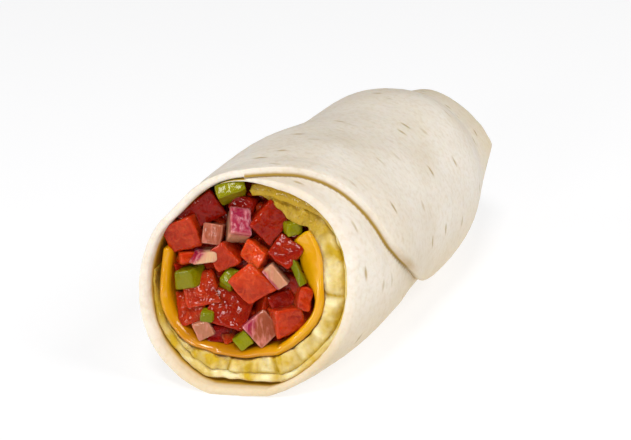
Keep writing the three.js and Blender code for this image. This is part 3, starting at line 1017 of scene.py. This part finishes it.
PEPPER_SKIN = [(0, 1, 0), (0, 1, 0), (0, 0, 1), (0, 0, 1), (0, 1, 0), (0, 0, 1), (1, 0, 0)]
# How thick a piece is at most, in millimetres, which share of a side's thickness shows, and how round
# an edge may be, as a share of the least half size.
THICKEST, SIDE_SHOWN, ROUNDEST = 6.5, 0.8, 0.45
# The relief of a piece: the sizes of its two ripples in millimetres, and how high the finer one is as a
# share of the other. Each piece takes it from another place, up to RELIEF_ROOM away.
COARSE, FINE, FINE_SHARE = 3, 1.1, 0.4
RELIEF_ROOM = 100
# The deeper pieces: how many, over a disc of what reach about which middle, and the ranges of their
# sizes, depths, angles and tones.
DEEP_COUNT, DEEP_REACH, DEEP_MIDDLE = 46, 19, (-1.5, 2)
DEEP_SIZE, DEEP_BEHIND, DEEP_TURN, DEEP_TONE = (6, 9), (6, 9), (-35, 35), (0, 0.5)
GOLDEN_ANGLE = math.radians(137.5)

print("pieces at the mouth:", len(TOMATO), "tomato,", len(ONION), "onion,", len(PEPPER), "pepper")


# %% Formulas of a piece
def face_place(right, up, depth):
    """A point that far right and up of the roll's middle, and that far behind the mouth's plane."""
    _, _, _, x, z, _ = section(0.0)
    y = MOUTH_Y + MOUTH_SLANT[0] * right + MOUTH_SLANT[1] * up + depth
    return np.stack([x + right, y, z + up], -1)


def deep_pieces(seed):
    """Rows for the darker pieces behind those at the front, spread evenly over a disc: piece k lies at
    the reach sqrt(k / n), a golden angle on from the one before."""
    rng = np.random.default_rng(seed)
    k = np.arange(DEEP_COUNT)
    reach = DEEP_REACH * np.sqrt((k + 0.5) / DEEP_COUNT)
    right = reach * np.cos(k * GOLDEN_ANGLE) + DEEP_MIDDLE[0]
    up = reach * np.sin(k * GOLDEN_ANGLE) + DEEP_MIDDLE[1]
    size = rng.uniform(*DEEP_SIZE, (DEEP_COUNT, 2))
    behind = rng.uniform(*DEEP_BEHIND, DEEP_COUNT)
    angles = rng.uniform(*DEEP_TURN, (DEEP_COUNT, 3))
    tone = rng.uniform(*DEEP_TONE, DEEP_COUNT)
    return np.column_stack([right, up, size, behind, angles, 0 * behind, tone])


def cube_template(lines):
    """A cube from -1 to 1 as points and quads, with lines closer to the edges: each face is a grid,
    and points shared by faces are merged."""
    s = np.sin(np.linspace(-math.pi / 2, math.pi / 2, lines))
    a, b = np.meshgrid(s, s, indexing="ij")
    one = np.ones_like(a)
    faces = [(one, a, b), (-one, b, a), (b, one, a), (a, -one, b), (a, b, one), (b, a, -one)]
    points = np.concatenate([np.stack(f, -1).reshape(-1, 3) for f in faces])
    i, j = np.meshgrid(np.arange(lines - 1), np.arange(lines - 1), indexing="ij")
    quad = np.stack([i * lines + j, (i + 1) * lines + j, (i + 1) * lines + j + 1, i * lines + j + 1], -1)
    quads = np.concatenate([quad.reshape(-1, 4) + n * lines * lines for n in range(6)])
    _, first, merged = np.unique(points.round(6), axis=0, return_index=True, return_inverse=True)
    return points[first], merged.ravel()[quads]


def rotated(a, b, degrees):
    """The pair of coordinates (a, b), turned by an angle from a towards b."""
    cos, sin = np.cos(np.radians(degrees))[:, None], np.sin(np.radians(degrees))[:, None]
    return cos * a - sin * b, sin * a + cos * b


def true_size(seen, thick, degrees):
    """The width w of a box that looks as wide as seen when it is turned by an angle and also shows a
    part of its side: w = (seen - shown thick |sin|) / cos."""
    turn = np.radians(degrees)
    return (seen - SIDE_SHOWN * thick * np.abs(np.sin(turn))) / np.cos(turn)


def diced(rows, seed, rounding, skew, bump, lines=13):
    """Points, faces and cube coordinates of pieces. A point p of the cube goes to
    q + r (hp - q) / |hp - q|, with half size h and q the nearest point of the box that is smaller by
    the rounding r. The eight corners are pushed by random vectors, shared out by (1 +- x)/2 weights,
    and the piece is leant, swung, turned and set to face the camera."""
    cube, quads = cube_template(lines)
    right, up, wide, high, depth, turn, lean, swing, slant, _ = rows.T
    count = len(rows)
    rng = np.random.default_rng(seed)
    thick = np.minimum(np.maximum(wide, high), THICKEST)
    half = np.stack([true_size(wide, thick, swing), true_size(high, thick, lean), thick], -1)[:, None] / 2
    radius = np.minimum(rounding, ROUNDEST * half.min(-1, keepdims=True))
    scaled = cube[None] * half
    inner = np.clip(scaled, radius - half, half - radius)
    away = scaled - inner
    away /= np.linalg.norm(away, axis=-1, keepdims=True)
    points = inner + radius * away
    share = np.stack([(1 - cube) / 2, (1 + cube) / 2], -1)
    weight = np.einsum("pa,pb,pc->pabc", share[:, 0], share[:, 1], share[:, 2]).reshape(len(cube), 8)
    push = rng.uniform(-skew, skew, (count, 8, 3)) * 2 * half
    points = points + np.einsum("pk,nkc->npc", weight, push)
    shift = rng.uniform(0, RELIEF_ROOM, (count, 1, 3))
    relief = layered(points + shift, [(bump, COARSE, seed), (FINE_SHARE * bump, FINE, seed + 1)])
    x, y, z = np.moveaxis(points + away * relief[..., None], -1, 0)
    x = x + slant[:, None] * y
    z, y = rotated(z, y, -lean)
    z, x = rotated(z, x, -swing)
    x, y = rotated(x, y, turn)
    centre = face_place(right, up, depth) - backward * (0.5 * thick[:, None])
    world = centre[:, None, :] + np.stack([x, y, z], -1) @ np.array([rightward, upward, backward])
    faces = (quads[None] + (np.arange(count) * len(cube))[:, None, None]).reshape(-1, 4)
    return world.reshape(-1, 3), [faces], np.broadcast_to(cube, (count, *cube.shape))


# %% Dice meshes
def make_diced(name, rows, skin, seed, rounding, skew, bump):
    """One object with every piece of a kind, and for each point its piece's tone, how far it lies
    towards the side that has the skin, or the seeds, from -1 to 1, and how near it is to an edge of
    the cube: the second largest of its coordinates without their signs, which is 1 on an edge."""
    rows = np.array(rows, float)
    points, faces, cube = diced(rows, seed, rounding, skew, bump)
    values = {
        "tone": np.repeat(rows[:, -1], cube.shape[1]),
        "skin": np.einsum("npc,nc->np", cube, np.array(skin, float)),
        "brim": np.sort(np.abs(cube), -1)[..., 1],
    }
    return make_piece(name, points, faces, values)


tomato_rows = np.vstack([TOMATO, deep_pieces(seed=20)])
# Seeds lie on the face towards the camera, of some pieces at the front and every third behind them.
seeds_on = np.zeros((len(tomato_rows), 3))
seeds_on[list(TOMATO_SEEDS), 2] = 1
seeds_on[len(TOMATO) :: 3, 2] = 1
tomato = make_diced("tomato_dice", tomato_rows, seeds_on, seed=21, rounding=0.65, skew=0.11, bump=0.15)
onion = make_diced("onion_dice", ONION, ONION_SKIN, seed=22, rounding=0.5, skew=0.07, bump=0.06)
pepper = make_diced("pepper_dice", PEPPER, PEPPER_SKIN, seed=23, rounding=0.6, skew=0.09, bump=0.1)

# %% [markdown]
# ## The heap behind the pieces
# Behind the pieces one looks into more of the same: wet, dark tomato pulp. Cutting every hidden piece
# would hardly show, so the core is one solid with a knobbly front, closed by a pole at each end.

# %% Salsa core
CORE_DEPTH = 8.5
CORE_CLEAR = 0.4
BARE_CLEAR = 0.6
# Angles between which the food beside the core changes: cheese to egg, and either end to bare wall.
CHEESE_TO_EGG, EGG_TO_BARE, CHEESE_TO_BARE = (50, 62), (92, 104), (-193, -205)
ALL_ROUND_FROM = 130
CORE_AROUND, CORE_DISC_RINGS, CORE_TUBE_RINGS = 120, 34, 24
FIRST_RING = 0.02
DOME, DOME_POWER = 2.2, 6
TUBE_START = 3
PULP_LUMPS = [(1, 6, 31), (0.35, 2, 32)]


def salsa_depth(angle, behind):
    """How deep under the wall the vegetables begin: inside the cheese, the egg, or the bare wall."""
    onward = np.where(angle > ALL_ROUND_FROM, angle - 360, angle)
    inside_cheese = cheese_near(onward, behind) + CHEESE_THICKNESS + CORE_CLEAR
    inside_egg = egg_far(onward, behind) + CORE_CLEAR
    inside = mix(inside_cheese, inside_egg, ramp(onward, *CHEESE_TO_EGG))
    return mix(inside, BARE_CLEAR, ramp(onward, *EGG_TO_BARE) + ramp(onward, *CHEESE_TO_BARE))


def make_core():
    """Rings from the front's middle out to its rim, domed by a power of the share of the way out and
    knobbly, and back along the roll."""
    angle = np.linspace(-180, 180, CORE_AROUND, endpoint=False)[None, :]
    share = np.linspace(FIRST_RING, 1, CORE_DISC_RINGS)[:, None]
    rim = filling_point(angle, CORE_DEPTH / LENGTH, salsa_depth(angle, CORE_DEPTH))
    middle = rim.mean(1, keepdims=True)
    disc = middle + (rim - middle) * share[..., None]
    disc[..., 1] += DOME * share**DOME_POWER - layered(disc, PULP_LUMPS)
    depths = np.linspace(CORE_DEPTH + TUBE_START, FILLING_END * LENGTH, CORE_TUBE_RINGS)[:, None]
    tube = filling_point(angle + 0 * depths, depths / LENGTH, salsa_depth(angle, depths))
    rings = np.concatenate([disc, tube])
    points = np.concatenate([disc[0].mean(0)[None], rings.reshape(-1, 3), tube[-1].mean(0)[None]])
    made = make_piece("salsa_core", points, pole_faces(len(rings), CORE_AROUND))
    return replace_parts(made, "salsa")


core = make_core()

# %% [markdown]
# ## The vegetables' finishes
# Cut vegetables are wet and let light in. Tomato is fibrous, with painted light that makes it pale along
# thin edges, red onion has a purple side, and pepper a glossy one. Each point of a piece knows its tone,
# its skin side and how near it is to an edge, so one material does for all pieces of a kind, and no two
# look alike.

# %% Vegetable finishes
def tomato_flesh():
    """Ripe tomato, cut with a knife: wet, red and fibrous, with painted light that makes it paler along
    its thin edges, as if light came through them there, and a jelly of seeds on some faces, where small
    sharp highlights crowd."""
    made, tree, place = start_material("tomato_flesh")
    tone = attribute(tree, "tone")
    veins = noise(tree, place, 2, 4.0, 1.0)
    ripe = blend(tree, tone, "#840200", "#D24204")
    sunk = stretched(tree, noise(tree, place, 4, 2.0), 0.45, 0.7, 0.0, 0.7)
    deep = blend(tree, sunk, ripe, "#7A0400")
    fibres = stretched(tree, veins, 0.42, 0.66, 0.0, 0.9)
    # Painted light: paler along the thin edges.
    thin = stretched(tree, attribute(tree, "brim"), 0.75, 1.0, 0.0, 0.6)
    paler = arithmetic(tree, "MAXIMUM", fibres, thin)
    light = arithmetic(tree, "MULTIPLY", paler, arithmetic(tree, "ADD", tone, 0.05), use_clamp=True)
    seedy = stretched(tree, attribute(tree, "skin"), 0.6, 0.95)
    juice = stretched(tree, seedy, 0.0, 1.0, 0.3 * MM, 0.5 * MM)
    jelly = noise(tree, place, 1.7, 1.0, 0.5)
    film = add(tree, "ShaderNodeBump", {"Height": jelly, "Distance": juice}).outputs[0]
    height = arithmetic(tree, "ADD", noise(tree, place, 0.6, 3.0), veins)
    return finish_material(made, {
        "Base Color": blend(tree, light, deep, "#DC5426"), "Roughness": 0.3, "IOR": 1.34,
        "Specular Tint": linear("#FF3018"), **wet_coat(0.6, 0.06, film),
        **light_inside(0.7, (1.0, 0.15, 0.04), 3),
    }, bumps(tree, height, 0.6, 0.5))


def red_onion():
    """Red onion: layers of clear flesh stained by the juice, paler along their thin edges, with a
    purple skin on one side of each. Its fibres are noise drawn out along one direction."""
    made, tree, place = start_material("red_onion")
    cloud = noise(tree, place, 2.2, 3.0)
    drawn_out = {"Vector": place, "Rotation": (0.5, 0.3, 0.0), "Scale": (1.0, 1.0, 0.15)}
    fibres = noise(tree, add(tree, "ShaderNodeMapping", drawn_out).outputs["Vector"], 0.9, 2.0)
    patchy = arithmetic(tree, "MULTIPLY_ADD", cloud, 0.9, attribute(tree, "skin"))
    skin = stretched(tree, patchy, 0.75, 1.4, interpolation_type="SMOOTHSTEP")
    streak = stretched(tree, fibres, 0.5, 0.72, 0.0, 0.7)
    flesh = blend(tree, attribute(tree, "tone"), "#963C20", "#D8AE86")
    veined = blend(tree, streak, flesh, "#D8897A")
    purple = blend(tree, streak, "#9A1440", "#D88A96")
    thin = stretched(tree, attribute(tree, "brim"), 0.8, 1.0, 0.0, 0.25)
    return finish_material(made, {
        "Base Color": blend(tree, thin, blend(tree, skin, veined, purple), "#E0B49C"),
        "Roughness": 0.3, "IOR": 1.36, "Specular Tint": linear("#FFA080"),
        **wet_coat(0.7, 0.05, wet_film(tree, place, 1.8, 0.35)),
        **light_inside(0.4, (1.0, 0.5, 0.4), 2),
    }, bumps(tree, arithmetic(tree, "ADD", cloud, fibres), 0.6, 0.5))


def green_pepper():
    """Green pepper: a glossy green skin over paler, watery flesh."""
    made, tree, place = start_material("green_pepper")
    skin = stretched(tree, attribute(tree, "skin"), 0.2, 0.95)
    flesh = blend(tree, attribute(tree, "tone"), "#726000", "#8C8E04")
    return finish_material(made, {
        "Base Color": blend(tree, skin, flesh, "#6E6E00"),
        "Roughness": 0.3, "IOR": 1.36, "Specular Tint": linear("#C8D040"),
        **wet_coat(0.5, 0.06, wet_film(tree, place, 2.2, 0.4)),
        **light_inside(0.2, (0.5, 1.0, 0.1), 1),
    }, bumps(tree, noise(tree, place, 1.6, 3.0), 0.6, 0.5))


def tomato_pulp():
    """The pulp deep between the pieces: dark red, wet and seedy."""
    made, tree, place = start_material("tomato_pulp")
    lumps = noise(tree, place, 2, 4.0)
    return finish_material(made, {
        "Base Color": blend(tree, lumps, "#4C0400", "#961A08"),
        "Roughness": 0.35, "IOR": 1.34, "Specular Tint": linear("#FF3018"),
        **wet_coat(0.7, 0.06, wet_film(tree, place, 1.6, 0.4)),
    }, bumps(tree, lumps, 1, 0.8))


dress(tomato_flesh(), tomato)
dress(red_onion(), onion)
dress(green_pepper(), pepper)
dress(tomato_pulp(), core)

# %% [markdown]
# ## Floor and light
# The photograph is a studio shot on a white table that glows a little from below, so that only a
# faint shadow is left. The key softbox hangs in front and above, and a broad one lights the right
# side. Two more, low in front and at the left, are what the wet filling mirrors as glints.

# %% Floor and light
FLOOR_HALF = 3000
FLOOR_GREY, FLOOR_GLOW = "#9C9C9E", 0.7
ROOM_COLOUR, ROOM_LIGHT = (0.96, 0.98, 1.0, 1), 0.17
LIT_POINT = np.array([0, 0, 30])
# Each softbox: its name, its place and its width in millimetres, its watts and its colour.
SOFTBOXES = [
    ("key_softbox", (200, -700, 1080), 300, 7, (1, 0.985, 0.96)),
    ("right_softbox", (850, 50, 850), 600, 6.8, (1, 0.99, 0.97)),
    ("front_softbox", (50, -1100, 300), 200, 2.8, (1, 1, 1)),
    ("left_softbox", (-950, -600, 260), 400, 4, (1, 1, 1)),
]


def make_floor():
    """A wide pale square at height zero. It isn't part of the object."""
    mesh = bpy.data.meshes.new("studio_floor")
    far = FLOOR_HALF * MM
    mesh.from_pydata([(-far, -far, 0), (far, -far, 0), (far, far, 0), (-far, far, 0)], [], [(0, 1, 2, 3)])
    made = put_in_scene("studio_floor", mesh)
    material = start_material("white_paper")[0]
    dress(finish_material(material, {
        "Base Color": linear(FLOOR_GREY), "Roughness": 0.9,
        "Emission Color": linear("#FFFFFF"), "Emission Strength": FLOOR_GLOW,
    }), made)


def make_softbox(name, place, width, watts, colour):
    """A square area light that looks at the middle of the roll, with two sides level."""
    data = bpy.data.lights.new(name, "AREA")
    data.shape = "SQUARE"
    data.size = width * MM
    data.energy = watts
    data.color = colour
    made = put_in_scene(name, data)
    back = np.array(place) - LIT_POINT
    back = back / np.linalg.norm(back)
    side = np.cross((0, 0, 1), back)
    turn_and_place(made, side / np.linalg.norm(side), back, np.array(place))


def light_room():
    """A faint even light from all round, and colours shown as they are."""
    world = bpy.data.worlds.new("studio")
    bpy.context.scene.world = world
    world.use_nodes = True
    sky = world.node_tree.nodes["Background"]
    sky.inputs["Color"].default_value = ROOM_COLOUR
    sky.inputs["Strength"].default_value = ROOM_LIGHT
    bpy.context.scene.view_settings.view_transform = "Standard"


make_floor()
for softbox in SOFTBOXES:
    make_softbox(*softbox)
light_room()
